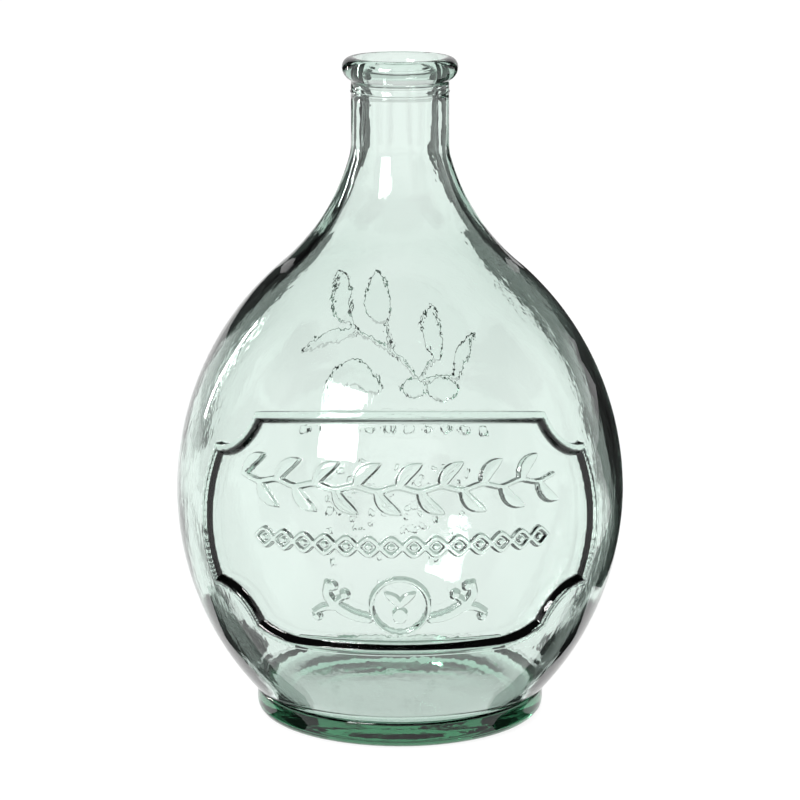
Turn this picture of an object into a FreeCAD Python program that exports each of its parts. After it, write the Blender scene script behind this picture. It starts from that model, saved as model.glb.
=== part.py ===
"""Round-bodied glass oil bottle with a raised cartouche frame on the front of its belly.

One closed glass solid, in millimetres, +Z up.  The origin is the centre of the foot on the surface
that the bottle stands on, the long axis is Z and the framed panel faces -Y.
"""
import FreeCAD, Part
import math
import os
from BOPTools import SplitAPI

# ---- driving dimensions: silhouette -------------------------------------------------------
height = 280.0            # foot to the top of the lip
belly_radius = 94.8       # largest radius of the body
belly_height = 96.3       # height of that largest radius
upper_arc_radius = 127.5  # meridian arc from the belly up to the shoulder
shoulder_radius = 91.3    # hollow meridian arc between the body and the neck
neck_root_radius = 19.6   # small hollow arc that turns the shoulder into the neck
neck_root_drop = 36.0     # depth below the lip at which the neck becomes straight
neck_radius = 20.5

# ---- lip ---------------------------------------------------------------------------------
lip_stand_out = 3.7       # how far the rolled bead stands out of the neck
bead_under_radius = 6.0   # section arc of the underside of the bead
collar_drop = 14.6        # the neck ring's mould seam, below the top of the lip
collar_step = 0.35        # how far the seam stands out
collar_band = 0.8         # height of the seam

# ---- foot --------------------------------------------------------------------------------
foot_radius = 61.4
foot_height = 11.3
foot_edge_radius = 4.6    # rounding of the bottom edge
foot_top_radius = 1.3     # rounding of the top edge
foot_groove = 1.1         # height of the groove between foot and body
body_over_foot = 1.4      # how far the body stands out of the foot where it starts
rest_ring_width = 6.0     # flat ring that touches the table
push_up = 3.2             # rise of the hollow underside at its centre

# ---- glass thickness ---------------------------------------------------------------------
wall = 4.7
floor_height = 11.5       # top of the thick glass floor
heel_radius = 15.0        # inside rounding between floor and wall

# ---- raised frame, laid out flat (along, up) and wrapped round the belly -------------------
relief_height = 3.0       # how far the frame stands out of the body
relief_root = 1.6         # how far its glass runs into the wall
panel_height = 99.0       # height of the panel's middle
panel_half_width = 89.5   # middle of the panel to the inner edge of a side rib
side_bow_radius = 86.0
top_reach = 45.1          # middle of the panel to the inner edge of the top rib
top_bow_radius = 517.0
bottom_reach = 45.8
bottom_turn_inset = 45.5  # where the bottom rib turns up, in from the side rib's inner edge
bottom_bow_radius = 40.0  # its upturned ends
notch_radius = 22.0       # inner edge of the hollow corners
notch_inset = 3.3         # centre of a hollow corner, in from the side rib's inner edge
notch_up = 47.6
rib_width = 4.0

# ---- seal ring below the middle of the panel -------------------------------------------------
seal_drop = 28.6          # below the middle of the panel
seal_radius = 12.6
seal_rib_width = 1.7
seal_relief = 1.6         # how far the ring stands out

SAMPLES_PER_ARC = 7       # interpolation points on each wrapped outline edge
UP = FreeCAD.Vector(0, 0, 1)


def section_point(radius, z):
    """A point of the meridian section, which lies in the XZ plane."""
    return FreeCAD.Vector(radius, 0, z)


def section_arc(centre, radius, start, end):
    """The shorter arc about centre, of the given radius, from the direction of start to that of end."""
    first = (start - centre).normalize()
    last = (end - centre).normalize()
    middle = (first + last).normalize()
    points = [centre + direction * radius for direction in (first, middle, last)]
    return Part.Arc(*points).toShape()


def circle_crossings(centre_a, radius_a, centre_b, radius_b):
    """Both crossing points of two circles in the plane, as (x, y) pairs."""
    dx = centre_b[0] - centre_a[0]
    dy = centre_b[1] - centre_a[1]
    gap = math.hypot(dx, dy)
    along = (radius_a**2 - radius_b**2 + gap**2) / (2 * gap)
    across = math.sqrt(radius_a**2 - along**2)
    foot_x = centre_a[0] + along * dx / gap
    foot_y = centre_a[1] + along * dy / gap
    return [(foot_x + side * across * dy / gap, foot_y - side * across * dx / gap) for side in (-1, 1)]


class Meridian:
    """The bottle's outer meridian curve, and the curves parallel to it at any offset."""

    def __init__(self):
        self.neck_root_z = height - neck_root_drop
        self.body_start = section_point(foot_radius + body_over_foot, foot_height + foot_groove)
        self.lower_arc_radius = self.arc_to_start()
        self.lower_centre = section_point(belly_radius - self.lower_arc_radius, belly_height)
        self.upper_centre = section_point(belly_radius - upper_arc_radius, belly_height)
        self.root_centre = section_point(neck_radius + neck_root_radius, self.neck_root_z)
        crossings = circle_crossings(
            (self.upper_centre.x, self.upper_centre.z), upper_arc_radius + shoulder_radius,
            (self.root_centre.x, self.root_centre.z), shoulder_radius - neck_root_radius)
        self.shoulder_centre = section_point(*max(crossings))

    def arc_to_start(self):
        """Radius of the arc that is upright at the belly and passes through the body's start."""
        inwards = belly_radius - self.body_start.x
        down = belly_height - self.body_start.z
        return (inwards**2 + down**2) / (2 * inwards)

    def lower_radius(self, z, offset=0.0):
        """Distance from the axis of the lower arc at height z."""
        reach = self.lower_arc_radius + offset
        return self.lower_centre.x + math.sqrt(reach**2 - (z - belly_height)**2)

    def upper_radius(self, z, offset=0.0):
        """Distance from the axis of the upper arc at height z."""
        reach = upper_arc_radius + offset
        return self.upper_centre.x + math.sqrt(reach**2 - (z - belly_height)**2)

    def body_arcs(self, start, offset=0.0):
        """Edges from start, a point of the lower arc, up to the straight neck."""
        belly = section_point(belly_radius + offset, belly_height)
        to_shoulder = (self.shoulder_centre - self.upper_centre).normalize()
        meet = self.upper_centre + to_shoulder * (upper_arc_radius + offset)
        to_root = (self.root_centre - self.shoulder_centre).normalize()
        turn = self.shoulder_centre + to_root * (shoulder_radius - offset)
        neck = section_point(neck_radius + offset, self.neck_root_z)
        return [
            section_arc(self.lower_centre, self.lower_arc_radius + offset, start, belly),
            section_arc(self.upper_centre, upper_arc_radius + offset, belly, meet),
            section_arc(self.shoulder_centre, shoulder_radius - offset, meet, turn),
            section_arc(self.root_centre, neck_root_radius - offset, turn, neck),
        ]


def foot_edges(meridian):
    """Underside, resting ring, foot and groove, from the axis out to the start of the body."""
    rest_outer = foot_radius - foot_edge_radius
    rest_inner = rest_outer - rest_ring_width
    groove_radius = foot_radius - foot_top_radius
    groove = section_point(groove_radius, foot_height)
    dome_radius = (rest_inner**2 + push_up**2) / (2 * push_up)
    dome_centre = section_point(0, push_up - dome_radius)
    edge_centre = section_point(rest_outer, foot_edge_radius)
    top_centre = section_point(groove_radius, foot_height - foot_top_radius)
    rest_in = section_point(rest_inner, 0)
    rest_out = section_point(rest_outer, 0)
    side_low = section_point(foot_radius, foot_edge_radius)
    side_high = section_point(foot_radius, foot_height - foot_top_radius)
    return [
        section_arc(dome_centre, dome_radius, section_point(0, push_up), rest_in),
        Part.makeLine(rest_in, rest_out),
        section_arc(edge_centre, foot_edge_radius, rest_out, side_low),
        Part.makeLine(side_low, side_high),
        section_arc(top_centre, foot_top_radius, side_high, groove),
        Part.makeLine(groove, meridian.body_start),
    ]


def lip_edges(meridian):
    """Neck, mould seam, rolled bead and the rounded mouth, from the neck root to the bore."""
    bore_radius = neck_radius - wall
    lip_radius = neck_radius + lip_stand_out
    lip_round = (lip_radius - bore_radius) / 2
    lip_z = height - lip_round
    lip_centre = section_point(bore_radius + lip_round, lip_z)
    under_centre = section_point(lip_radius - bead_under_radius, lip_z)
    reach_in = neck_radius - under_centre.x
    bead_start = section_point(neck_radius, lip_z - math.sqrt(bead_under_radius**2 - reach_in**2))
    seam_low = section_point(neck_radius, height - collar_drop)
    seam_mid = section_point(neck_radius + collar_step, seam_low.z + collar_band / 2)
    seam_high = section_point(neck_radius, seam_low.z + collar_band)
    outside = section_point(lip_radius, lip_z)
    crown = section_point(lip_centre.x, height)
    inside = section_point(bore_radius, lip_z)
    return [
        Part.makeLine(section_point(neck_radius, meridian.neck_root_z), seam_low),
        Part.makeLine(seam_low, seam_mid),
        Part.makeLine(seam_mid, seam_high),
        Part.makeLine(seam_high, bead_start),
        section_arc(under_centre, bead_under_radius, bead_start, outside),
        section_arc(lip_centre, lip_round, outside, crown),
        section_arc(lip_centre, lip_round, crown, inside),
        Part.makeLine(inside, section_point(bore_radius, meridian.neck_root_z)),
    ]


def inner_edges(meridian):
    """The cavity: walls parallel to the outside, a rounded heel and a flat thick floor."""
    inner_reach = meridian.lower_arc_radius - wall - heel_radius
    heel_z = floor_height + heel_radius
    heel_x = meridian.lower_centre.x + math.sqrt(inner_reach**2 - (belly_height - heel_z)**2)
    heel_centre = section_point(heel_x, heel_z)
    outwards = (heel_centre - meridian.lower_centre).normalize()
    heel_top = heel_centre + outwards * heel_radius
    heel_foot = section_point(heel_x, floor_height)
    walls = meridian.body_arcs(heel_top, -wall)
    walls.append(section_arc(heel_centre, heel_radius, heel_top, heel_foot))
    walls.append(Part.makeLine(heel_foot, section_point(0, floor_height)))
    walls.append(Part.makeLine(section_point(0, floor_height), section_point(0, push_up)))
    return walls


def revolved(edges):
    """The closed section turned once round the axis."""
    wire = Part.Wire(Part.__sortEdges__(edges))
    return Part.Face(wire).revolve(FreeCAD.Vector(0, 0, 0), UP, 360)


def make_vessel(meridian):
    """Foot, body, neck, lip and cavity in one turned solid."""
    edges = foot_edges(meridian) + meridian.body_arcs(meridian.body_start)
    edges += lip_edges(meridian) + inner_edges(meridian)
    return revolved(edges)


def make_skin(meridian, stand_out):
    """A turned skin over the belly, from inside the wall out to the top of the relief."""
    low = panel_height - bottom_reach - 3 * rib_width
    high = panel_height + top_reach + 3 * rib_width
    edges = []
    ends = []
    for offset in (-relief_root, stand_out):
        start = section_point(meridian.lower_radius(low, offset), low)
        belly = section_point(belly_radius + offset, belly_height)
        end = section_point(meridian.upper_radius(high, offset), high)
        edges.append(section_arc(meridian.lower_centre, meridian.lower_arc_radius + offset, start, belly))
        edges.append(section_arc(meridian.upper_centre, upper_arc_radius + offset, belly, end))
        ends.append((start, end))
    edges.append(Part.makeLine(ends[0][0], ends[1][0]))
    edges.append(Part.makeLine(ends[0][1], ends[1][1]))
    return revolved(edges)


# ---- outlines in the flat layout: lists of arcs (centre, radius, start angle, end angle) ------
def flat_arc(centre, radius, start, end):
    """An arc from point start to point end about centre, by its shorter way."""
    first = math.atan2(start[1] - centre[1], start[0] - centre[0])
    turn = math.atan2(end[1] - centre[1], end[0] - centre[0]) - first
    turn = (turn + math.pi) % (2 * math.pi) - math.pi
    return centre, radius, first, first + turn


def mirrored(arcs):
    """The same run of arcs on the other side of the panel's middle, in reverse order."""
    flipped = []
    for (x, y), radius, first, last in reversed(arcs):
        flipped.append(((-x, y), radius, math.pi - last, math.pi - first))
    return flipped


def cartouche(offset):
    """The panel's outline, moved outwards by offset: bowed edges and four hollow corners."""
    top = (0.0, top_reach - top_bow_radius)
    side = (panel_half_width - side_bow_radius, 0.0)
    notch_along = panel_half_width - notch_inset
    bottom_flat_half = panel_half_width - bottom_turn_inset
    upper_notch = (notch_along, notch_up)
    lower_notch = (notch_along, -notch_up)
    bottom_bow = (bottom_flat_half, bottom_bow_radius - bottom_reach)
    notch = notch_radius - offset
    crown = (0.0, top_reach + offset)
    top_corner = min(circle_crossings(top, top_bow_radius + offset, upper_notch, notch))
    high_cusp = min(circle_crossings(side, side_bow_radius + offset, upper_notch, notch),
                    key=lambda point: point[1])
    low_cusp = max(circle_crossings(side, side_bow_radius + offset, lower_notch, notch),
                   key=lambda point: point[1])
    bottom_corner = min(circle_crossings(bottom_bow, bottom_bow_radius + offset, lower_notch, notch))
    flat_end = (bottom_flat_half, -bottom_reach - offset)
    right = [
        flat_arc(top, top_bow_radius + offset, crown, top_corner),
        flat_arc(upper_notch, notch, top_corner, high_cusp),
        flat_arc(side, side_bow_radius + offset, high_cusp, low_cusp),
        flat_arc(lower_notch, notch, low_cusp, bottom_corner),
        flat_arc(bottom_bow, bottom_bow_radius + offset, bottom_corner, flat_end),
    ]
    return right, flat_end


def flat_points(arc):
    """Evenly spaced points of one flat arc."""
    (x, y), radius, first, last = arc
    angles = [first + (last - first) * i / (SAMPLES_PER_ARC - 1) for i in range(SAMPLES_PER_ARC)]
    return [(x + radius * math.cos(angle), y + radius * math.sin(angle)) for angle in angles]


def wrapped_point(point, radius):
    """A point of the flat layout, rolled round the axis and placed at the given radius."""
    angle = point[0] / belly_radius
    return FreeCAD.Vector(radius * math.sin(angle), -radius * math.cos(angle), panel_height + point[1])


def radial_wall(runs):
    """A closed wall of radial lines that stands on the outline made by the runs of points."""
    inner = belly_radius / 2
    outer = belly_radius + 2 * relief_height
    faces = []
    for run in runs:
        rails = []
        for radius in (inner, outer):
            curve = Part.BSplineCurve()
            curve.interpolate([wrapped_point(point, radius) for point in run])
            rails.append(curve.toShape())
        faces.append(Part.makeRuledSurface(*rails))
    return Part.Shell(faces)


def cartouche_runs(offset):
    """Runs of points for the whole cartouche outline."""
    right, flat_end = cartouche(offset)
    arcs = right + mirrored(right)
    runs = [flat_points(arc) for arc in arcs]
    steps = [i / (SAMPLES_PER_ARC - 1) for i in range(SAMPLES_PER_ARC)]
    straight = [(flat_end[0] * (1 - 2 * step), flat_end[1]) for step in steps]
    runs.insert(len(right), straight)
    return runs


def ring_runs(centre, radius):
    """Runs of points for a full circle in four quarters."""
    runs = []
    for quarter in range(4):
        first = quarter * math.pi / 2
        runs.append(flat_points((centre, radius, first, first + math.pi / 2)))
    return runs


def raised(skin, walls, probe):
    """The piece of the skin, cut by the walls, that holds the probe point."""
    pieces = SplitAPI.slice(skin, walls, "Split", 0.0)
    for piece in pieces.Solids:
        if piece.isInside(probe, 1e-3, False):
            return piece
    raise ValueError("no raised piece at the probe point")


def make_frame(meridian):
    """The raised rib that frames the panel."""
    skin = make_skin(meridian, relief_height)
    walls = [radial_wall(cartouche_runs(offset)) for offset in (0.0, rib_width)]
    rib_middle = -bottom_reach - rib_width / 2
    depth = meridian.lower_radius(panel_height + rib_middle, relief_height / 2)
    return raised(skin, walls, wrapped_point((0.0, rib_middle), depth))


def make_seal(meridian):
    """The raised ring below the middle of the panel."""
    skin = make_skin(meridian, seal_relief)
    centre = (0.0, -seal_drop)
    walls = [radial_wall(ring_runs(centre, radius)) for radius in (seal_radius - seal_rib_width, seal_radius)]
    rib_middle = (0.0, -seal_drop - seal_radius + seal_rib_width / 2)
    depth = meridian.lower_radius(panel_height + rib_middle[1], seal_relief / 2)
    return raised(skin, walls, wrapped_point(rib_middle, depth))


def make_bottle():
    """Turned vessel with the raised frame and seal ring melted into its wall."""
    meridian = Meridian()
    vessel = make_vessel(meridian)
    bottle = vessel.fuse([make_frame(meridian), make_seal(meridian)])
    return bottle.Solids[0]


os.makedirs("parts", exist_ok=True)
bottle = make_bottle()
bottle.exportStep("parts/bottle.step")
print("bottle", "valid", bottle.isValid(), "volume cm3", round(bottle.Volume / 1000, 1))
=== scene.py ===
"""Dressed model of a glass olive oil bottle: lattice glass, studio lights and camera.

The vessel is one closed surface of revolution, walked from the centre of the underside over the
outside, round the lip and down the inside to the centre of the floor. Relief is added along the
surface normal of the outside. The surface is meshed on an adaptive lattice: fine cells where relief
changes, coarse cells elsewhere, so that one piece holds crisp ornament. Lengths are millimetres of a
bottle 280 mm tall where a comment doesn't say otherwise.
"""
import logging
import math
from dataclasses import dataclass, field
from enum import Enum

import bpy
import numpy as np
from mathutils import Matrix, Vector

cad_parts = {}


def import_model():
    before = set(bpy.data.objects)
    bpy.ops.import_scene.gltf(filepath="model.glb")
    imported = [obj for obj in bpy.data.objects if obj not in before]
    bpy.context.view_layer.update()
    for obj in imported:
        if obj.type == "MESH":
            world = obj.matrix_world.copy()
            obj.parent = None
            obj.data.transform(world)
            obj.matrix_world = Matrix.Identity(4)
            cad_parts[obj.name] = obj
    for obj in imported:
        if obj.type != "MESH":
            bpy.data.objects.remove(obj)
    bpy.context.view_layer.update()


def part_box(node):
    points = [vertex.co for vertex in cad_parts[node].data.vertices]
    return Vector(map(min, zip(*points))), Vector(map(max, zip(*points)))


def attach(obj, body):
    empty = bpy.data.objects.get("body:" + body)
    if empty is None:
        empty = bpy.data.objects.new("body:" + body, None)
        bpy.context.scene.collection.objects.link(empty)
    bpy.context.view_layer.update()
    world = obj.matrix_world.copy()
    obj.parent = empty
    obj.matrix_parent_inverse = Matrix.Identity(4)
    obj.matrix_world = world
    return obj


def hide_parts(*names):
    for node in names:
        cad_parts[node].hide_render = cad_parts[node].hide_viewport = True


LOG = logging.getLogger("bottle")
Pair = tuple[float, float]


# Shader maths
@dataclass
class Sock:
    """A node socket that takes part in Python expressions."""

    tree: bpy.types.NodeTree
    socket: bpy.types.NodeSocket

    def math(self, kind: str, other: "Sock | float | None" = None, first: float | None = None) -> "Sock":
        """Apply a Math node.

        Args:
            kind: Operation of the Math node.
            other: Second operand, if the operation has one.
            first: First operand when this socket is the second one.

        Returns:
            The result as a new value.
        """
        left: "Sock | float" = self if first is None else first
        right: "Sock | float | None" = other if first is None else self
        inputs = {0: left} if right is None else {0: left, 1: right}
        return Nodes(self.tree).add("ShaderNodeMath", {"operation": kind}, inputs)

    def __add__(self, other: "Sock | float") -> "Sock":
        """Sum."""
        return self.math("ADD", other)

    __radd__ = __add__

    def __mul__(self, other: "Sock | float") -> "Sock":
        """Product."""
        return self.math("MULTIPLY", other)

    __rmul__ = __mul__

    def __sub__(self, other: "Sock | float") -> "Sock":
        """Difference."""
        return self.math("SUBTRACT", other)

    def __rsub__(self, other: float) -> "Sock":
        """Difference from a number."""
        return self.math("SUBTRACT", first=other)

    def __truediv__(self, other: "Sock | float") -> "Sock":
        """Quotient."""
        return self.math("DIVIDE", other)

    def clamp(self) -> "Sock":
        """Hold the value between 0 and 1."""
        return self.math("MAXIMUM", 0.0).math("MINIMUM", 1.0)


@dataclass
class Nodes:
    """Adds nodes to one tree."""

    tree: bpy.types.NodeTree

    def add(self, kind: str, settings: dict, inputs: dict, output: int | str = 0) -> Sock:
        """Add one node of any type.

        Args:
            kind: Type name of the node.
            settings: Attributes of the node, set before its sockets.
            inputs: Values or links by socket name or number.
            output: Name or number of the output to return.

        Returns:
            The chosen output, wrapped.
        """
        node = self.tree.nodes.new(kind)
        for key, value in settings.items():
            setattr(node, key, value)
        for key, value in inputs.items():
            if isinstance(value, Sock):
                self.tree.links.new(value.socket, node.inputs[key])
            else:
                node.inputs[key].default_value = value
        return Sock(self.tree, node.outputs[output])

    def link(self, value: Sock, node: bpy.types.Node, name: str) -> None:
        """Link a value to a named input of a node."""
        self.tree.links.new(value.socket, node.inputs[name])


# Meridian
ROW = 16    # Lattice rows in a block: the coarsest cell's side.


@dataclass
class Section:
    """One stretch of the meridian, its share of the skin's unevenness, and whether it bears relief."""

    points: np.ndarray
    ripple: float
    relief: bool = False


def arc(centre: Pair, start: Pair, end: Pair, rows: int) -> np.ndarray:
    """Circular arc, the short way: centre plus radius times (cosine, sine), the angle going evenly.

    Args:
        centre: Radius and height of the centre.
        start: First point.
        end: Last point.
        rows: Number of steps.

    Returns:
        Array of rows + 1 points.
    """
    begin = math.atan2(start[1] - centre[1], start[0] - centre[0])
    stop = math.atan2(end[1] - centre[1], end[0] - centre[0])
    sweep = (stop - begin + math.pi) % (2 * math.pi) - math.pi
    angle = begin + sweep * np.linspace(0, 1, rows + 1)
    radius = np.linspace(math.dist(start, centre), math.dist(end, centre), rows + 1)
    return np.stack([centre[0] + radius * np.cos(angle), centre[1] + radius * np.sin(angle)], -1)


def straight(start: Pair, end: Pair, rows: int) -> np.ndarray:
    """Straight run: start plus an even share of the way to the end, in a number of rows."""
    share = np.linspace(0, 1, rows + 1)[:, None]
    return np.array(start) * (1 - share) + np.array(end) * share


@dataclass
class Meridian:
    """Half section of the vessel, in millimetres of a bottle 280 mm tall."""

    height: float = 280.0
    belly: float = 94.8
    belly_z: float = 96.3
    lower_r: float = 126.0
    upper_r: float = 127.5
    shoulder_c: Pair = (109.25, 262.77)
    root_c: Pair = (40.1, 244.0)
    upper_end: Pair = (50.02, 193.33)
    shoulder_end: Pair = (21.18, 238.8)
    foot: float = 61.4
    foot_edge: float = 4.6
    foot_z: float = 11.3
    foot_top: float = 1.3
    groove: float = 1.1
    rest_ring: float = 6.0
    push_up: float = 3.2
    pole: float = 1.5
    neck: float = 20.5
    neck_step: tuple[Pair, ...] = ((0.0, 265.4), (0.35, 265.8), (0.0, 266.2))
    bore: float = 15.8
    wall: float = 4.7
    floor_z: float = 11.5
    heel: float = 15.0
    lip_r: float = 4.2
    lip_c: Pair = (20.0, 275.8)
    under_c: Pair = (18.2, 275.8)
    under_r: float = 6.0

    def crossing(self) -> Pair:
        """Where the lower body arc passes the top of the foot's groove."""
        z = self.foot_z + self.groove
        return self.belly - self.lower_r + math.sqrt(self.lower_r**2 - (z - self.belly_z)**2), z

    def heel_points(self) -> tuple[Pair, Pair]:
        """Fit the inner heel's arc between the floor and the lower inner arc.

        Returns:
            The arc's centre, and the point where it touches the lower inner arc.
        """
        inner = self.lower_r - self.wall
        axis = self.belly - self.lower_r
        z = self.floor_z + self.heel
        reach = inner - self.heel
        centre = (axis + math.sqrt(reach**2 - (z - self.belly_z)**2), z)
        stretch = inner / reach
        touch = (axis + (centre[0] - axis) * stretch, self.belly_z + (z - self.belly_z) * stretch)
        return centre, touch

    @staticmethod
    def offset(centre: Pair, point: Pair, move: float) -> Pair:
        """Move a point straight away from a centre.

        Args:
            centre: Centre of the arc that the point is on.
            point: Point to move.
            move: Distance, negative towards the centre.

        Returns:
            The moved point.
        """
        dx, dz = point[0] - centre[0], point[1] - centre[1]
        share = (math.hypot(dx, dz) + move) / math.hypot(dx, dz)
        return centre[0] + dx * share, centre[1] + dz * share

    def sections(self) -> list[Section]:
        """Lay out the stretches in order, from the underside's centre to the floor's centre.

        Returns:
            Every stretch of the meridian.
        """
        ring_in = self.foot - self.foot_edge - self.rest_ring
        dome = (ring_in**2 + self.push_up**2) / (2 * self.push_up)
        low_c, up_c = ((self.belly - size, self.belly_z) for size in (self.lower_r, self.upper_r))
        side_top = self.foot_z - self.foot_top
        groove_in = (self.foot - self.foot_top, self.foot_z)
        start = self.crossing()
        edge_c = (self.foot - self.foot_edge, self.foot_edge)
        neck_top, step, step_end = ((self.neck + out, z) for out, z in self.neck_step)
        lip_out = (self.lip_c[0] + self.lip_r, self.lip_c[1])
        bead_z = self.under_c[1] - math.sqrt(self.under_r**2 - (self.neck - self.under_c[0])**2)
        heel_c, heel_touch = self.heel_points()
        rest, belly = (edge_c[0], 0.0), (self.belly, self.belly_z)
        neck_root, bore_root = (self.neck, self.root_c[1]), (self.bore, self.root_c[1])
        crown, mouth = (self.lip_c[0], self.height), (self.bore, self.lip_c[1])
        in_up = self.offset(up_c, self.upper_end, -self.wall)
        in_sh = self.offset(self.shoulder_c, self.shoulder_end, self.wall)
        belly_in = (self.belly - self.wall, self.belly_z)
        plan = [
            (arc((0.0, self.push_up - dome), (self.pole, self.push_up), (ring_in, 0.0), 4 * ROW), 0.0),
            (straight((ring_in, 0.0), rest, ROW), 0.0),
            (arc(edge_c, rest, (self.foot, self.foot_edge), 3 * ROW), 0.3),
            (straight((self.foot, self.foot_edge), (self.foot, side_top), 2 * ROW), 0.6),
            (arc((groove_in[0], side_top), (self.foot, side_top), groove_in, 2 * ROW), 0.5),
            (straight(groove_in, start, 2 * ROW), 0.3),
            (arc(low_c, start, belly, 17 * ROW), 1.0, True),
            (arc(up_c, belly, self.upper_end, 19 * ROW), 1.0, True),
            (arc(self.shoulder_c, self.upper_end, self.shoulder_end, 8 * ROW), 1.0),
            (arc(self.root_c, self.shoulder_end, neck_root, 2 * ROW), 1.0),
            (straight(neck_root, neck_top, 3 * ROW), 1.0),
            (straight(neck_top, step, ROW), 0.3),
            (straight(step, step_end, ROW), 0.3),
            (straight(step_end, (self.neck, bead_z), ROW), 0.6),
            (arc(self.under_c, (self.neck, bead_z), lip_out, 3 * ROW), 0.6),
            (arc(self.lip_c, lip_out, crown, 3 * ROW), 0.4),
            (arc(self.lip_c, crown, mouth, 2 * ROW), 0.2),
            (straight(mouth, bore_root, 4 * ROW), 0.5),
            (arc(self.root_c, bore_root, in_sh, 2 * ROW), 1.0),
            (arc(self.shoulder_c, in_sh, in_up, 5 * ROW), 1.0),
            (arc(up_c, in_up, belly_in, 9 * ROW), 1.0),
            (arc(low_c, belly_in, heel_touch, 6 * ROW), 1.0),
            (arc(heel_c, heel_touch, (heel_c[0], self.floor_z), 3 * ROW), 0.6),
            (straight((heel_c[0], self.floor_z), (self.pole, self.floor_z), 3 * ROW), 0.3),
        ]
        return [Section(*item) for item in plan]


# Relief
def smooth(edge: np.ndarray) -> np.ndarray:
    """Smooth step: t squared times (3 - 2t), with t held between 0 and 1."""
    t = np.clip(edge, 0, 1)
    return t * t * (3 - 2 * t)


ROOM = 4.0    # Space round a shape in which its edge may fall off.


@dataclass
class Stroke:
    """A bent line that thins towards its end; a leaf when its middle is the widest."""

    points: list[Pair]
    widths: tuple[float, float, float]
    samples: int = 40

    def distance(self, s: np.ndarray, z: np.ndarray) -> np.ndarray:
        """Distance outside the stroke: least distance to its sampled line, less its half width there.

        Args:
            s: Place along the skin, mm.
            z: Height, mm.

        Returns:
            Distances, negative inside.
        """
        knots = np.array(self.points, float)
        where = np.linspace(0, len(knots) - 1, self.samples)
        line = np.stack([self.curve(where, knots[:, axis]) for axis in (0, 1)], -1)
        share = where / where[-1]
        near, mid, far = self.widths
        half = near * (1 - share)**2 + 2 * mid * share * (1 - share) + far * share**2
        gap = np.full(s.shape, 1e3)
        for point, width in zip(line, half):
            np.minimum(gap, np.hypot(s - point[0], z - point[1]) - width / 2, out=gap)
        return gap

    @staticmethod
    def curve(where: np.ndarray, values: np.ndarray) -> np.ndarray:
        """Catmull-Rom curve: the cubic through each pair of knots with the slopes of their neighbours.

        Args:
            where: Place along the knots, 0 at the first and 1 at the next.
            values: One coordinate of the knots.

        Returns:
            The coordinate at each place.
        """
        if len(values) == 2:
            return np.interp(where, (0, 1), values)
        padded = np.concatenate([[2 * values[0] - values[1]], values, [2 * values[-1] - values[-2]]])
        index = np.minimum(where.astype(int), len(values) - 2)
        t = where - index
        a, b, c, d = (padded[index + k] for k in range(4))
        square, cube = 2 * a - 5 * b + 4 * c - d, 3 * b - a - 3 * c + d
        return 0.5 * (2 * b + (c - a) * t + square * t**2 + cube * t**3)

    def reach(self) -> tuple[float, float, float, float]:
        """Box that holds the stroke: least and greatest place, then height."""
        lines, room = np.array(self.points).T, max(self.widths) + ROOM
        return tuple(limit for line in lines for limit in (line.min() - room, line.max() + room))


@dataclass
class Ellipse:
    """An olive or a bead."""

    centre: Pair
    half: Pair
    turn: float = 0.0

    def distance(self, s: np.ndarray, z: np.ndarray) -> np.ndarray:
        """Distance outside: the scaled radius less one, times the lesser half size.

        Args:
            s: Place along the skin.
            z: Height.

        Returns:
            Distances, negative inside.
        """
        c, n = math.cos(self.turn), math.sin(self.turn)
        x, y = s - self.centre[0], z - self.centre[1]
        scaled = np.hypot((x * c + y * n) / self.half[0], (y * c - x * n) / self.half[1])
        return (scaled - 1) * min(self.half)

    def reach(self) -> tuple[float, float, float, float]:
        """Box that holds the ellipse, with room for its edge."""
        room, (x, z) = max(self.half) + ROOM, self.centre
        return x - room, x + room, z - room, z + room


@dataclass
class Ornament:
    """Shapes that rise together to one height, over a soft edge, with a dome on top."""

    shapes: list[Stroke | Ellipse]
    height: float
    edge: float
    dome: float = 0.0


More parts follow.
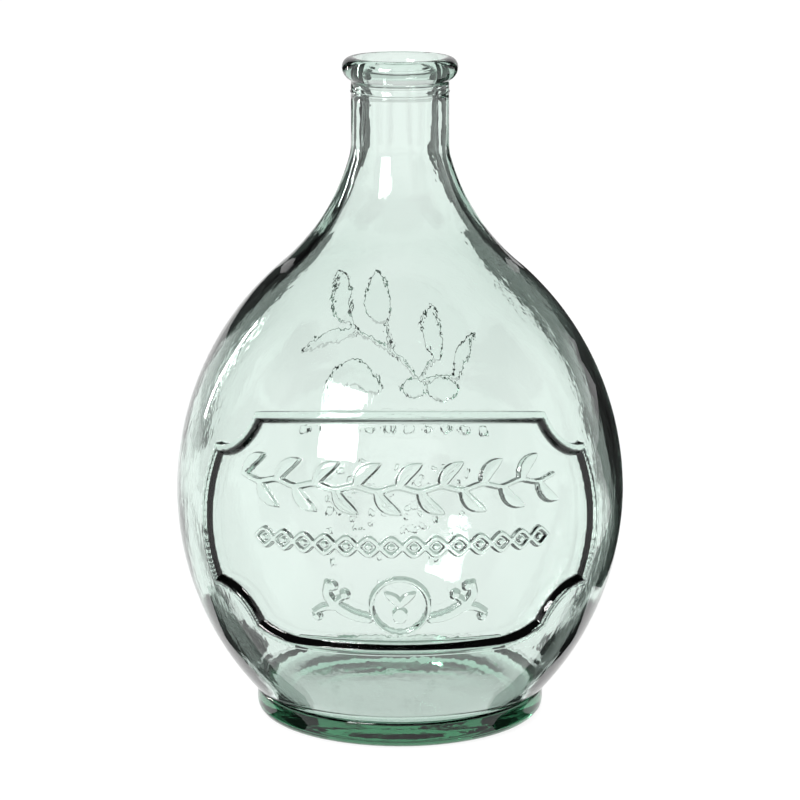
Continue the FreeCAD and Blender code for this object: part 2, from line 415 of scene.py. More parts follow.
@dataclass
class Relief:
    """Everything that rises from the skin. Places are (along the skin, height)."""

    belly: float = 94.8
    frame_height: float = 3.2
    rib: float = 4.0
    climb: float = 1.6
    panel_middle: float = 99.0
    panel_top: float = 144.1
    top_arc: float = 517.0
    side_arc: float = 86.0
    side_shift: float = 3.5
    upper_notch: tuple[float, float, float] = (86.2, 146.6, 22.0)
    lower_notch: tuple[float, float, float] = (84.3, 52.4, 21.4)
    bottom_turn: tuple[float, float, float] = (44.0, 93.2, 40.0)
    bottom_lean: float = math.radians(31)
    frame_reach: float = 130.0
    seal_at: Pair = (0.0, 70.4)
    seal_radii: Pair = (10.9, 12.6)
    seal_height: float = 1.6
    dome_depth: float = 5.4
    pebble_seed: int = 21
    pebble_count: int = 70

    def cartouche(self, s: np.ndarray, z: np.ndarray) -> np.ndarray:
        """Distance outside the panel: the greatest of its bounding arcs' distances.

        A notch is an arc's radius less the distance from its centre. The bottom is straight, turns up
        in the arc bottom_turn and leaves it by the tangent at bottom_lean.

        Args:
            s: Place along the skin, mm.
            z: Height, mm.

        Returns:
            Distances, negative inside the panel.
        """
        across = np.abs(s)
        top = np.hypot(s, z - (self.panel_top - self.top_arc)) - self.top_arc
        side = np.hypot(across - self.side_shift, z - self.panel_middle) - self.side_arc
        corner = np.maximum(*(size - np.hypot(across - x, z - y)
                              for x, y, size in (self.upper_notch, self.lower_notch)))
        x, y, size = self.bottom_turn
        run, drop = np.maximum(across - x, 0), y - z
        c, n = math.cos(self.bottom_lean), math.sin(self.bottom_lean)
        bottom = np.where(run * c < drop * n, np.hypot(run, drop), run * n + drop * c) - size
        return np.maximum.reduce([top, side, corner, bottom])

    def frame(self, s: np.ndarray, z: np.ndarray) -> np.ndarray:
        """Rib round the panel: climbs from the inner line, and falls more steeply at the outer one."""
        gap = self.cartouche(s, z)
        return self.frame_height * smooth((gap + 0.3) / self.climb) * smooth(self.rib - gap + 0.5)

    def seal(self, s: np.ndarray, z: np.ndarray) -> np.ndarray:
        """Ring: full height between its two radii."""
        gap, (least, most) = np.hypot(s - self.seal_at[0], z - self.seal_at[1]), self.seal_radii
        return self.seal_height * smooth((gap - least) / 0.5 + 0.5) * smooth((most - gap) / 0.6 + 0.5)

    def front(self) -> list[Ornament]:
        """Draw the scrolls, the olive under two leaves in the seal, the garland and the braid.

        Returns:
            The front's ornaments.
        """
        scroll = [Stroke([(13.3, 64.8), (19.5, 66.2), (26.0, 69.6), (29.9, 74.0), (29.7, 79.3)],
                         (3.6, 5.6, 2.6)),
                  Stroke([(26.0, 69.6), (25.6, 72.2), (23.6, 73.8)], (2.6, 2.4, 1.8)),
                  Stroke([(26.0, 69.6), (31.4, 68.8), (36.1, 66.4)], (3.0, 3.2, 1.6))]
        both = scroll + [Stroke([(-x, y) for x, y in item.points], item.widths) for item in scroll]
        sprig = [Ellipse((0.0, 66.4), (3.0, 3.6)),
                 Stroke([(0.0, 70.4), (-2.4, 73.6), (-6.2, 76.2)], (0.6, 6.6, 0.4)),
                 Stroke([(0.0, 70.4), (2.4, 73.6), (6.2, 76.2)], (0.6, 6.6, 0.4))]
        curls = [Ellipse((way * x, z), (1.9, 1.9)) for way in (-1, 1) for x, z in
                 ((27.6, 78.4), (22.6, 75.0), (35.4, 64.6))]
        return [Ornament(both + curls, 1.5, 1.3), Ornament(sprig, 0.8, 0.5), self.garland(), self.braid()]

    def garland(self) -> Ornament:
        """Draw an olive branch: leaves lean forward above and below a waving stem by turns.

        Returns:
            The branch.
        """
        count, left, pitch, middle = 8, -70.5, 17.4, 118.6
        knots = [(left + pitch * k / 2, middle + 0.9 * (-1)**k) for k in range(2 * count + 1)]
        shapes: list[Stroke | Ellipse] = [Stroke(knots, (2.2, 2.4, 1.6), 160)]
        for k in range(2 * count):
            x, way = left + pitch * k / 2, 1 - 2 * (k % 2)
            shapes.append(Stroke([(x, middle + 0.8 * way), (x + 3.6, middle + 6.2 * way),
                                  (x + 10.0, middle + 9.8 * way)], (1.6, 9.4, 0.4)))
        return Ornament(shapes, 1.2, 0.5, 0.7)

    def braid(self) -> Ornament:
        """Draw two waving strands that cross, half a turn apart, with a bead in each eye.

        Returns:
            The braid.
        """
        turns, left, pitch, middle, swing = 14, -62.0, 9.0, 95.5, 3.4
        shapes: list[Stroke | Ellipse] = []
        for side in (-1, 1):
            knots = [(left + pitch * k / 2, middle + side * swing * math.sin(math.pi * k / 2))
                     for k in range(2 * turns + 1)]
            shapes.append(Stroke(knots, (1.7, 2.1, 1.7), 260))
        shapes += [Ellipse((left + pitch * (k + 0.5), middle), (1.5, 1.2)) for k in range(turns)]
        return Ornament(shapes, 1.2, 0.5)

    def back(self) -> list[Ornament]:
        """Draw an olive branch, a row of beads and a pebbled ground. Angles are degrees from the back.

        Returns:
            The back's ornaments.
        """
        def bend(points: list[Pair]) -> list[Pair]:
            """Turn angles into places along the skin."""
            return [(math.radians(angle) * self.belly, z) for angle, z in points]
        leaves = [Stroke(bend(points), widths) for points, widths in (
            ([(-18.2, 156), (-22.6, 168), (-27.3, 181.4)], (3.0, 17.0, 0.4)),
            ([(-4.9, 154), (-8.4, 165), (-11.4, 177.6)], (4.0, 27.0, 0.4)),
            ([(11.4, 136), (9.8, 149), (11.1, 163.6)], (2.0, 18.0, 0.4)),
            ([(16.6, 127), (19.0, 138), (23.2, 149.1)], (1.6, 12.0, 0.6)),
            ([(-15.0, 148), (-24, 147), (-31.6, 142.5)], (4.0, 11.0, 0.6)),
            ([(-19.9, 116), (-16.6, 125), (-12.4, 128), (-7.6, 121)], (1.0, 19.0, 6.0)))]
        stems = [Stroke(bend(points), widths) for points, widths in (
            ([(-17.9, 158), (-13.4, 148.6), (-3, 138.2), (5.3, 124.5)], (1.8, 2.0, 1.6)),
            ([(-4.9, 155.8), (-3.6, 147), (-3, 138.2)], (1.4, 1.4, 1.6)),
            ([(11.4, 137.6), (7.4, 131), (5.3, 124.5)], (1.4, 1.4, 1.6)),
            ([(17.2, 126.8), (12, 127), (5.3, 124.5)], (1.4, 1.4, 1.6)))]
        fruit = [Ellipse(bend([(angle, 120.8)])[0], half) for angle, half in
                 ((3.4, (6.2, 5.0)), (12.2, (8.0, 5.8)))]
        beads = [Ellipse(bend([(angle, 102.0)])[0], (2.3, 2.3)) for angle in np.linspace(-27, 25, 10)]
        rng, count = np.random.default_rng(self.pebble_seed), self.pebble_count
        pebbles = [Ellipse((x, z), (long, long * 0.6), turn) for x, z, long, turn in
                   zip(rng.uniform(-38, 34, count), rng.normal(66, 12, count), rng.uniform(1.2, 2.6, count),
                       rng.uniform(0, math.pi, count))]
        return [Ornament(leaves, 0.9, 0.45), Ornament(stems, 0.8, 0.5), Ornament(fruit, 1.1, 0.5, 0.5),
                Ornament(beads, 1.0, 0.8), Ornament(pebbles, 0.8, 0.55)]

    def raise_shapes(self, ornaments: list[Ornament], s: np.ndarray, z: np.ndarray, into: np.ndarray) -> None:
        """Lift the skin where shapes lie: height times a smooth step of the distance inside, greatest wins.

        Args:
            ornaments: Groups of shapes.
            s: Place along the skin of every lattice point, one row of columns.
            z: Height of every lattice row.
            into: Heights to raise, rows by columns.
        """
        for group in ornaments:
            for shape in group.shapes:
                s0, s1, z0, z1 = shape.reach()
                cols, rows = np.where((s >= s0) & (s <= s1))[0], np.where((z >= z0) & (z <= z1))[0]
                if not len(cols) or not len(rows):
                    continue
                place = np.ix_(rows, cols)
                gap = shape.distance(np.broadcast_to(s[cols], (len(rows), len(cols))),
                                     np.broadcast_to(z[rows, None], (len(rows), len(cols))))
                lift = group.height * smooth(-gap / group.edge + 0.5)
                if group.dome:
                    lift += group.dome * np.sqrt(np.clip(-gap / self.dome_depth, 0, 1))
                into[place] = np.maximum(into[place], lift)

    def heights(self, s: np.ndarray, z: np.ndarray) -> np.ndarray:
        """Relief over the lattice: the greatest of the frame, seal and ornaments, front and back.

        Args:
            s: Place along the skin of each column, mm, 0 at the front.
            z: Height of each row, mm.

        Returns:
            Heights in mm, rows by columns.
        """
        grid_s, grid_z = np.broadcast_arrays(s[None], z[:, None])
        out = self.frame(grid_s, grid_z) * (np.abs(grid_s) < self.frame_reach)
        out = np.maximum(out, self.seal(grid_s, grid_z))
        self.raise_shapes(self.front(), s, z, out)
        half = math.pi * self.belly
        rear = half - np.mod(s, 2 * half)
        self.raise_shapes(self.back(), rear, z, out)
        return out


# Adaptive lattice
class Join(Enum):
    """How a block's value comes from its four cells."""

    LEAST = "min"
    ANY = "any"


def blocks(values: np.ndarray, join: Join) -> np.ndarray:
    """Join each two by two block of cells: its least value, or whether any is true.

    Args:
        values: Cells, rows by columns.
        join: How the four cells give one value.

    Returns:
        Array of half the size each way.
    """
    parts = values.reshape(values.shape[0] // 2, 2, values.shape[1] // 2, 2)
    return getattr(parts, join.value)(axis=(1, 3))


def spread(cells: np.ndarray) -> np.ndarray:
    """Grow a set of cells by their four neighbours; columns close round the bottle and rows don't.

    Args:
        cells: Whether each cell is in the set.

    Returns:
        The grown set.
    """
    out = cells | np.roll(cells, 1, 1) | np.roll(cells, -1, 1)
    out[1:] |= cells[:-1]
    out[:-1] |= cells[1:]
    return out


@dataclass
class Lattice:
    """Splits a closed grid into square cells of five sizes, no neighbours more than one size apart."""

    rows: int
    columns: int
    top: int = 4

    def leaves(self, wanted: np.ndarray) -> list[np.ndarray]:
        """Choose cells: a block is split if something in it wants smaller cells, or a neighbour is.

        Args:
            wanted: Size wanted by each finest cell, 0 for the finest.

        Returns:
            For each size, from the finest, the chosen cells.
        """
        least, split = [wanted], [np.zeros_like(wanted, bool)]
        for level in range(1, self.top + 1):
            least.append(blocks(least[-1], Join.LEAST))
            split.append((least[level] < level) | blocks(spread(split[level - 1]), Join.ANY))
        out = [np.ones((1, 1), bool)] * (self.top + 1)
        exists = np.ones_like(split[self.top])
        for level in range(self.top, -1, -1):
            out[level] = exists & ~split[level]
            if level:
                exists = np.repeat(np.repeat(exists & split[level], 2, 0), 2, 1)
        return out

    def polygons(self, leaves: list[np.ndarray]) -> tuple[np.ndarray, np.ndarray, np.ndarray]:
        """Turn cells into polygons that take in a finer neighbour's corner halfway along a side.

        Args:
            leaves: Chosen cells of each size.

        Returns:
            Lattice point of each corner, corners per polygon, and whether each point is used.
        """
        used = np.zeros((self.rows + 1, self.columns), bool)
        cells = []
        for level, chosen in enumerate(leaves):
            step = 1 << level
            row, col = (index * step for index in np.nonzero(chosen))
            cells.append((row, col, np.full(len(row), step)))
            for dr, dc in ((0, 0), (0, step), (step, 0), (step, step)):
                used[row + dr, (col + dc) % self.columns] = True
        row, col, step = (np.concatenate(part) for part in zip(*cells))
        half = step // 2
        ring_r = np.stack([row, row, row, row + half, row + step, row + step, row + step, row + half], 1)
        ring_c = np.stack([col, col + half, col + step, col + step, col + step, col + half, col, col], 1)
        ring_c %= self.columns
        keep = used[ring_r, ring_c]
        keep[:, 1::2] &= (half > 0)[:, None]
        corner = ring_r * self.columns + ring_c
        return corner[keep], keep.sum(1), used


@dataclass(frozen=True)
class Waves:
    """Seeded unevenness of blown glass: a sum of sines in angle and height."""

    seed: int
    count: int
    amount: float
    turns: tuple[int, int]
    lengths: Pair

    def over(self, angle: np.ndarray, z: np.ndarray) -> np.ndarray:
        """Sum of sin(turns times angle plus height over length plus phase), scaled to the amount.

        Args:
            angle: Angle of each column.
            z: Height of each row, mm.

        Returns:
            Offsets in mm, rows by columns.
        """
        rng = np.random.default_rng(self.seed)
        total = np.zeros((len(z), len(angle)))
        for _ in range(self.count):
            turns = int(rng.integers(self.turns[0], self.turns[1] + 1)) * int(rng.choice((-1, 1)))
            rate, phase = 2 * math.pi / rng.uniform(*self.lengths), rng.uniform(0, 2 * math.pi)
            up = rate * z + phase
            total += np.outer(np.sin(up), np.cos(turns * angle)) + np.outer(np.cos(up), np.sin(turns * angle))
        return total * self.amount / math.sqrt(self.count / 2)


# Vessel
@dataclass
class Vessel:
    """The glass: meridian, relief and unevenness, made into one closed mesh."""

    scale: float
    meridian: Meridian = field(default_factory=Meridian)
    relief: Relief = field(default_factory=Relief)
    columns: int = 1344
    plain_level: int = 3
    level_limits: tuple[tuple[int, float], ...] = ((2, 0.022), (1, 0.09), (0, 0.27))
    inner_from: int = 17
    blur: int = 33
    still_radius: float = 26.0
    still_height: float = 4.0
    slow: Waves = Waves(11, 10, 0.12, (3, 8), (80.0, 160.0))
    quick: Waves = Waves(12, 16, 0.010, (16, 44), (14.0, 34.0))
    skin: Waves = Waves(13, 12, 0.010, (10, 26), (24.0, 70.0))

    def path(self) -> dict[str, np.ndarray]:
        """Lay the sections end to end.

        Returns:
            Radius, height, normal, ripple share, inner flag and relief flag of each lattice row.
        """
        sections = self.meridian.sections()
        line = np.concatenate([item.points[:-1] for item in sections] + [sections[-1].points[-1:]])
        lengths = [len(item.points) - 1 for item in sections]
        lengths[-1] += 1
        ripple = np.repeat([item.ripple for item in sections], lengths)
        kernel = np.hanning(2 * self.blur + 1)
        ripple = np.convolve(np.pad(ripple, self.blur, "edge"), kernel / kernel.sum(), "valid")
        ripple *= smooth(line[:, 0] / self.still_radius)
        ripple *= smooth(line[:, 1] / self.still_height)
        inner = np.repeat([float(k >= self.inner_from) for k in range(len(sections))], lengths)
        relief = np.repeat([item.relief for item in sections], lengths)
        slope = np.gradient(line, axis=0)
        slope /= np.hypot(slope[:, 0], slope[:, 1])[:, None]
        return {"r": line[:, 0], "z": line[:, 1], "nr": slope[:, 1], "nz": -slope[:, 0],
                "ripple": ripple, "inner": inner, "relief": relief}

    def offsets(self, path: dict[str, np.ndarray], angle: np.ndarray) -> tuple[np.ndarray, np.ndarray]:
        """Distance that each lattice point leaves the plain surface, and its relief alone.

        Args:
            path: Result of path().
            angle: Angle of each column, 0 at the front.

        Returns:
            Total offsets and relief, mm, rows by columns.
        """
        rows = np.nonzero(path["relief"])[0]
        raised = np.zeros((len(path["z"]), len(angle)))
        raised[rows] = self.relief.heights(angle * self.meridian.belly, path["z"][rows])
        outer = self.skin.over(angle, path["z"])
        inner = self.slow.over(angle, path["z"]) + self.quick.over(angle, path["z"])
        flag = path["inner"][:, None]
        wave = path["ripple"][:, None] * (outer * (1 - flag) - inner * flag)
        return raised + wave, raised

    def wanted(self, raised: np.ndarray) -> np.ndarray:
        """Choose cell sizes: finest where relief changes by the most within a cell.

        Args:
            raised: Relief at the lattice points.

        Returns:
            Size wanted by each finest cell, 0 for the finest.
        """
        following = np.roll(raised, -1, 1)
        stack = np.stack([raised[:-1], raised[1:], following[:-1], following[1:]])
        change = stack.max(0) - stack.min(0)
        out = np.full(change.shape, self.plain_level, np.int8)
        for level, limit in self.level_limits:
            out[change > limit] = level
        return out

    def build(self) -> bpy.types.Object:
        """Make the mesh.

        Returns:
            The bottle's object.
        """
        path = self.path()
        rows = len(path["r"]) - 1
        angle = 2 * math.pi * np.arange(self.columns) / self.columns - math.pi
        offset, raised = self.offsets(path, angle)
        lattice = Lattice(rows, self.columns)
        corner, counts, used = lattice.polygons(lattice.leaves(self.wanted(raised)))
        number = np.full(used.size, -1, np.int64)
        flat = np.nonzero(used.ravel())[0]
        number[flat] = np.arange(len(flat))
        row, col = flat // self.columns, flat % self.columns
        away = offset[row, col]
        radius = path["r"][row] + path["nr"][row] * away
        height = path["z"][row] + path["nz"][row] * away
        points = np.stack([radius * np.sin(angle[col]), -radius * np.cos(angle[col]), height], 1)
        poles = np.array([[0, 0, self.meridian.push_up], [0, 0, self.meridian.floor_z]])
        loops, totals = [number[corner]], [counts]
        for end, at in ((0, len(flat)), (rows, len(flat) + 1)):
            ring = number[end * self.columns + np.nonzero(used[end])[0]]
            after = np.roll(ring, -1)
            pair = (after, ring) if end == 0 else (ring, after)
            loops.append(np.stack([pair[0], pair[1], np.full(len(ring), at)], 1).ravel())
            totals.append(np.full(len(ring), 3))
        inner = np.concatenate([path["inner"][row], [0.0, 1.0]])
        return mesh_object("bottle_glass", np.concatenate([points, poles]) * self.scale,
                           np.concatenate(loops), np.concatenate(totals), inner)


def put(name: str, data: bpy.types.ID) -> bpy.types.Object:
    """Make an object of a mesh, light or camera, and link it to the scene.

    Args:
        name: Name of the object.
        data: What it shows.

    Returns:
        The object.
    """
    obj = bpy.data.objects.new(name, data)
    bpy.context.scene.collection.objects.link(obj)
    return obj


def sheet(name: str, points: np.ndarray, faces: np.ndarray) -> bpy.types.Mesh:
    """Make a mesh of four-cornered faces.

    Args:
        name: Name of the mesh.
        points: Places of the points, metres.
        faces: Point numbers, four to a face.

    Returns:
        The mesh.
    """
    mesh = bpy.data.meshes.new(name)
    mesh.from_pydata(points.reshape(-1, 3).tolist(), [], faces.tolist())
    return mesh


def mesh_object(name: str, points: np.ndarray, loops: np.ndarray, totals: np.ndarray,
                inner: np.ndarray) -> bpy.types.Object:
    """Put arrays into a smooth mesh object at the origin.

    Args:
        name: Name of the object.
        points: Places of the points, metres.
        loops: Point of each corner, polygon by polygon.
        totals: Corners of each polygon.
        inner: 1 for points of the inside, 0 for the outside.

    Returns:
        The object, linked to the scene.
    """
    mesh = bpy.data.meshes.new(name)
    mesh.vertices.add(len(points))
    mesh.vertices.foreach_set("co", points.astype(np.float32).ravel())
    mesh.loops.add(len(loops))
    mesh.loops.foreach_set("vertex_index", loops.astype(np.int32))
    mesh.polygons.add(len(totals))
    mesh.polygons.foreach_set("loop_start", (np.cumsum(totals) - totals).astype(np.int32))
    mesh.polygons.foreach_set("loop_total", totals.astype(np.int32))
    mesh.polygons.foreach_set("use_smooth", np.ones(len(totals), bool))
    mesh.attributes.new("inner", "FLOAT", "POINT").data.foreach_set("value", inner.astype(np.float32))
    mesh.update(calc_edges=True)
    mesh.validate()
    LOG.info("%s: %d points, %d triangles", name, len(points), int((totals - 2).sum()))
    return put(name, mesh)


# Finishes
@dataclass(frozen=True)
class GlassFinish:
    """Greenish recycled glass, faintly streaked and rippled. Lengths are metres."""

    ior: float = 1.52
    density: float = 25.0
    absorb: tuple[float, float, float, float] = (0.0, 0.52, 0.28, 1.0)
    streak: tuple[float, float, float, float] = (0.86, 0.94, 0.89, 1.0)
    clear: tuple[float, float, float, float] = (1.0, 1.0, 1.0, 1.0)
    drawn_out: float = 0.35
    ripple_size: float = 0.0035
    streak_rate: float = 70.0
    bump_reach: float = 0.00006

    def make(self) -> bpy.types.Material:
        """Make the glass: absorption in its volume, streaks in its colour and ripples in its skin.

        Returns:
            The material.
        """
        material = bpy.data.materials.new("green_glass")
        material.use_nodes = True
        tree = material.node_tree
        tree.nodes.clear()
        nodes = Nodes(tree)
        place = nodes.add("ShaderNodeTexCoord", {}, {}, "Object")
        drawn = nodes.add("ShaderNodeMapping", {}, {"Vector": place, "Scale": (1.0, 1.0, self.drawn_out)})
        fine, broad = (
            nodes.add("ShaderNodeTexNoise", {}, {"Vector": drawn, "Scale": rate, "Detail": detail})
            for rate, detail in ((1 / self.ripple_size, 2.0), (self.streak_rate, 3.0)))
        shade = (broad * 0.06 + 0.93).clamp()
        tint = nodes.add("ShaderNodeMix", {"data_type": "RGBA"}, {0: shade, 6: self.streak, 7: self.clear}, 2)
        inside = nodes.add("ShaderNodeAttribute", {"attribute_name": "inner"}, {}, "Fac")
        skin = fine * (inside * 0.6 + 0.4)
        bump = nodes.add("ShaderNodeBump", {}, {"Height": skin, "Distance": self.bump_reach, "Strength": 1.0})
        rough = broad * 0.012 + 0.004
        glass = tree.nodes.new("ShaderNodeBsdfPrincipled")
        glass.inputs["Transmission Weight"].default_value = 1.0
        glass.inputs["IOR"].default_value = self.ior
        nodes.link(tint, glass, "Base Color")
        nodes.link(rough, glass, "Roughness")
        nodes.link(bump, glass, "Normal")
        volume = tree.nodes.new("ShaderNodeVolumeAbsorption")
        volume.inputs["Color"].default_value = self.absorb
        volume.inputs["Density"].default_value = self.density
        out = tree.nodes.new("ShaderNodeOutputMaterial")
        tree.links.new(glass.outputs[0], out.inputs["Surface"])
        tree.links.new(volume.outputs[0], out.inputs["Volume"])
        return material


@dataclass(frozen=True)
class BlackFinish:
    """Dull black of the studio's cards, flags and shades."""

    grey: float = 0.01
    roughness: float = 0.9

    def make(self, name: str) -> bpy.types.Material:
        """Make the black.

        Args:
            name: Name of the material.

        Returns:
            The material.
        """
        material = bpy.data.materials.new(name)
        material.use_nodes = True
        shader = material.node_tree.nodes["Principled BSDF"]
        shader.inputs["Base Color"].default_value = (self.grey, self.grey, self.grey, 1)
        shader.inputs["Roughness"].default_value = self.roughness
        return material


@dataclass(frozen=True)
class FloorFinish:
    """White floor that glows, less so in the contact shadow under the foot."""

    white: float = 0.08
    roughness: float = 0.7
    shine: float = 0.1
    under: float = 0.65
    shadow_from: float = 0.8
    shadow_width: float = 0.22

    def make(self, foot: float) -> bpy.types.Material:
        """Make the floor's white: the glow rises evenly from under the foot to its edge.

        Args:
            foot: Radius of the bottle's foot, metres.

        Returns:
            The material.
        """
        material = bpy.data.materials.new("studio_floor")
        material.use_nodes = True
        nodes = Nodes(material.node_tree)
        place = nodes.add("ShaderNodeTexCoord", {}, {}, "Object")
        away = nodes.add("ShaderNodeVectorMath", {"operation": "LENGTH"}, {0: place}, "Value")
        # Painted contact shadow: the glow drops to the under level inside the foot's radius and rises to full
        # just past its edge.
        open_floor = ((away - foot * self.shadow_from) * (1 / (foot * self.shadow_width))).clamp()
        shader = material.node_tree.nodes["Principled BSDF"]
        nodes.link(open_floor * (1 - self.under) + self.under, shader, "Emission Strength")
        shader.inputs["Base Color"].default_value = (self.white, self.white, self.white, 1)
        shader.inputs["Roughness"].default_value = self.roughness
        shader.inputs["Specular IOR Level"].default_value = self.shine
        shader.inputs["Emission Color"].default_value = (1, 1, 1, 1)
        return material


# Studio
@dataclass
class Softbox:
    """A rectangular light that faces the bottle. Degrees, metres and watts."""

    name: str
    azimuth: float
    elevation: float
    distance: float
    size: Pair
    power: float


class Seen(Enum):
    """How the glass shows a dark sheet: through itself, mirrored in its skin, or both."""

    THROUGH = "through"
    MIRRORED = "mirrored"
    BOTH = "both"


@dataclass
class Shade:
    """Dark sheet round the bottle: rows of radius, height and two azimuths, degrees from the front."""

    name: str
    seen: Seen
    sides: tuple[int, ...]
    rows: tuple[tuple[float, float, float, float], ...]
    columns: int = 13

    def mesh(self, scale: float) -> bpy.types.Mesh:
        """Lay out the sheet on its sides: each row is an arc, and faces join row to row.

        Args:
            scale: Metres for each millimetre.

        Returns:
            The sheet.
        """
        radius, height, start, end = np.array(self.rows, float).T[:, :, None]
        turn = np.radians(start + (end - start) * np.linspace(0, 1, self.columns))
        sheets = [np.stack([side * radius * np.sin(turn), -radius * np.cos(turn), height + 0 * turn], -1)
                  for side in self.sides]
        number = np.arange(turn.size * len(self.sides)).reshape(len(self.sides), len(self.rows), self.columns)
        corner, above = number[:, :-1, :-1].ravel(), number[:, 1:, :-1].ravel()
        return sheet("shade_" + self.name, np.concatenate(sheets) * scale,
                     np.stack([corner, corner + 1, above + 1, above], 1))


@dataclass
class Studio:
    """Floor, surroundings, lights and camera, sized from the bottle's height in metres.

    The surroundings are bright up to bright_top, the sine of an elevation, and only up to bright_top
    less bright_dip between the four main directions. The camera's place is in bottle heights.
    """

    tall: float
    camera_back: float = 4.7446
    camera_up: float = 1.5304
    camera_dip: float = 12.48
    lens: float = 144.63
    surround: float = 0.06
    bright: float = 0.9
    bright_top: float = 0.45
    bright_dip: float = 0.37
    bright_fade: float = 5.0
    corner_from: float = 0.38
    corner_fade: float = 12.0
    card_angles: tuple[float, ...] = (26.0, 64.0)
    card_away: float = 0.6
    card_tall: float = 0.55
    card_half_angle: float = 7.5
    floor_gap: float = 0.00015
    floor_reach: float = 12.0
    flag_edge: tuple[Pair, ...] = (
        (97, 1), (97, 14), (128, 45), (135, 72), (132, 98), (102, 126), (94, 137), (81, 154), (65, 169),
        (43, 187), (31, 204))
    flag_width: float = 60.0
    flag_gap: tuple[int, int] = (2, 5)
    shades: list[Shade] = field(default_factory=lambda: [
        Shade("low", Seen.THROUGH, (-1, 1), (
            (64, 1, 74, 104), (78, 1, 84, 114), (92, 1, 94, 134), (112, 1, 102, 138), (128, 1, 105, 136),
            (165, 1, 107, 128))),
        Shade("low_skin", Seen.BOTH, (-1, 1), (
            (62, 2, 42, 68), (71, 2, 45, 69), (84, 2, 58, 83), (109, 2, 72, 103), (158, 2, 88, 106),
            (178, 2, 96, 108))),
        Shade("belly_skin", Seen.BOTH, (1,), (
            (178, 1, 96, 125), (258, 1, 108, 145), (400, 1, 126, 156), (400, 60, 116, 156),
            (400, 110, 113, 160), (400, 130, 120, 163), (400, 150, 134, 166))),
        Shade("shoulder_skin", Seen.BOTH, (-1, 1), (
            (400, 190, 146, 152), (400, 200, 139, 160), (400, 240, 134, 156), (400, 300, 128, 147),
            (400, 360, 122, 140), (400, 430, 118, 134))),
        Shade("shoulder_right", Seen.BOTH, (1,), (
            (400, 150, 134, 166), (400, 200, 132, 164)))])
    boxes: list[Softbox] = field(default_factory=lambda: [
        Softbox("key", -33, 27, 1.2, (0.42, 0.56), 14.0),
        Softbox("edge", -127, 13, 1.2, (0.035, 0.5), 2.5)])

    def place(self, azimuth: float, elevation: float, distance: float) -> Vector:
        """Find a point round the middle of the bottle: azimuth 0 is in front, growing towards +X.

        Args:
            azimuth: Degrees from the front.
            elevation: Degrees above the middle.
            distance: Metres from the middle.

        Returns:
            The point.
        """
        a, e = math.radians(azimuth), math.radians(elevation)
        middle = self.tall * 0.5
        return Vector((distance * math.cos(e) * math.sin(a), -distance * math.cos(e) * math.cos(a),
                       middle + distance * math.sin(e)))

    def lights(self) -> None:
        """Place every softbox, turned to the middle of the bottle."""
        for box in self.boxes:
            data = bpy.data.lights.new(box.name, "AREA")
            data.shape = "RECTANGLE"
            data.size, data.size_y = box.size
            data.energy = box.power
            light = put(box.name, data)
            light.location = self.place(box.azimuth, box.elevation, box.distance)
            aim = Vector((0, 0, self.tall * 0.5)) - light.location
            light.rotation_euler = aim.to_track_quat("-Z", "Y").to_euler()
            light.visible_camera = False

    def floor(self) -> bpy.types.Object:
        """Lay a white floor a little under the foot.

        Returns:
            The floor's object.
        """
        corners = np.array([(-1, -1, 0), (1, -1, 0), (1, 1, 0), (-1, 1, 0)]) * self.floor_reach
        mesh = sheet("floor", corners - (0, 0, self.floor_gap), np.array([(0, 1, 2, 3)]))
        mesh.materials.append(FloorFinish().make(Meridian.foot / Meridian.height * self.tall))
        return put("floor", mesh)

    def cards(self) -> bpy.types.Object:
        """Stand dark cards round the bottle, at the card angles of each quarter turn.

        Returns:
            The cards as one object.
        """
        turn = np.radians(np.add.outer(90.0 * np.arange(4), self.card_angles).ravel())
        half = math.radians(self.card_half_angle)
        sides = np.stack([turn - half, turn + half, turn + half, turn - half], 1)
        height = np.broadcast_to([0.0, 0.0, self.card_tall, self.card_tall], sides.shape)
        points = np.stack([self.card_away * np.sin(sides), -self.card_away * np.cos(sides), height], -1)
        return self.dark(sheet("dark_cards", points, np.arange(sides.size).reshape(-1, 4)), Seen.THROUGH)

    @staticmethod
    def dark(mesh: bpy.types.Mesh, seen: Seen) -> bpy.types.Object:
        """Make a mesh a dark object that only the glass shows.

        Args:
            mesh: Sheet to use.
            seen: How the glass shows it.

        Returns:
            The object.
        """
        mesh.materials.append(BlackFinish().make(mesh.name))
        obj = put(mesh.name, mesh)
        obj.visible_camera = False
        obj.visible_diffuse = False
        obj.visible_shadow = False
        obj.visible_glossy = seen is not Seen.THROUGH
        obj.visible_transmission = seen is not Seen.MIRRORED
        return obj

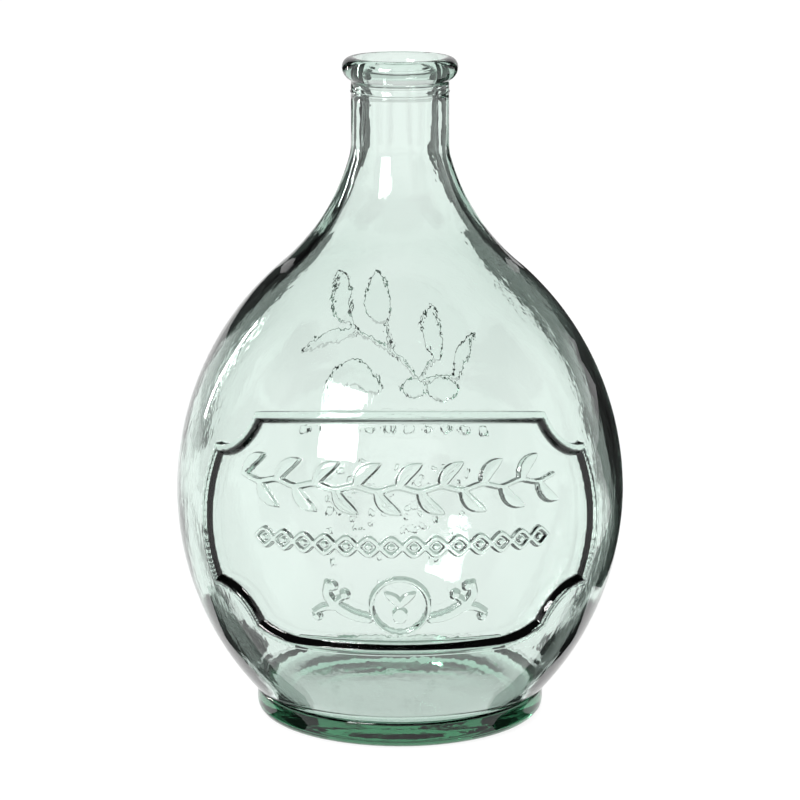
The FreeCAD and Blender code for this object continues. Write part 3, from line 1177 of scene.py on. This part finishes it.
    def flags(self) -> bpy.types.Object:
        """Stand two dark strips behind the bottle's sides, their inner edges cut to its outline.

        Each strip lies in an upright plane through the bottle's axis, turned 135 degrees from the front,
        and is ruled from its inner edge to its outer one, row by row. The left one has a gap at the belly.

        Returns:
            The strips as one object.
        """
        scale = self.tall / Meridian.height
        reach, up = np.array(self.flag_edge, float).T * scale
        wide = self.flag_width * scale
        rows = np.stack([np.stack([reach + more, reach + more, up], 1) for more in (0.0, wide)], 1)
        count = len(rows)
        first = 2 * np.arange(count - 1)
        right = np.stack([first, first + 1, first + 3, first + 2], 1)
        left = np.delete(right, np.s_[self.flag_gap[0]:self.flag_gap[1]], 0)
        faces = np.concatenate([left, right + 2 * count])
        return self.dark(sheet("dark_flags", np.concatenate([rows * (-1, 1, 1), rows]), faces), Seen.THROUGH)

    def world(self) -> None:
        """Make the surroundings: dark above, bright near the horizon, white where the camera sees them."""
        world = bpy.data.worlds.new("surroundings")
        bpy.context.scene.world = world
        world.use_nodes = True
        tree = world.node_tree
        tree.nodes.clear()
        nodes = Nodes(tree)
        way = nodes.add("ShaderNodeTexCoord", {}, {}, "Generated")
        x, y, up = (nodes.add("ShaderNodeSeparateXYZ", {}, {0: way}, axis) for axis in "XYZ")
        corner = (((x * y / (x * x + y * y)).math("ABSOLUTE") - self.corner_from) * self.corner_fade).clamp()
        band = (1 - (up - self.bright_top + corner * self.bright_dip) * self.bright_fade).clamp()
        seen = nodes.add("ShaderNodeLightPath", {}, {}, "Is Camera Ray")
        level = (band * self.bright + self.surround) * (1 - seen) + seen
        back = tree.nodes.new("ShaderNodeBackground")
        nodes.link(level, back, "Strength")
        out = tree.nodes.new("ShaderNodeOutputWorld")
        tree.links.new(back.outputs[0], out.inputs["Surface"])

    def camera(self) -> None:
        """Camera in front, a little above, looking down at the bottle."""
        data = bpy.data.cameras.new("camera")
        data.lens = self.lens
        data.sensor_width = 36.0
        camera = put("camera", data)
        camera.location = (0, -self.camera_back * self.tall, self.camera_up * self.tall)
        camera.rotation_euler = (math.radians(90 - self.camera_dip), 0, 0)
        bpy.context.scene.camera = camera


def main() -> None:
    """Build the bottle and its studio."""
    logging.basicConfig(level=logging.INFO, format="%(message)s")
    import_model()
    low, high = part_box("bottle")
    tall = high[2] - low[2]
    scale = tall / Meridian.height
    bottle = Vessel(scale).build()
    bottle.data.materials.append(GlassFinish().make())
    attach(bottle, "root")
    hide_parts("bottle")
    studio = Studio(tall)
    studio.floor()
    studio.cards()
    studio.flags()
    for shade in studio.shades:
        studio.dark(shade.mesh(scale), shade.seen)
    studio.lights()
    studio.world()
    studio.camera()
    bpy.context.scene.view_settings.view_transform = "Standard"


if __name__ == "__main__":
    main()
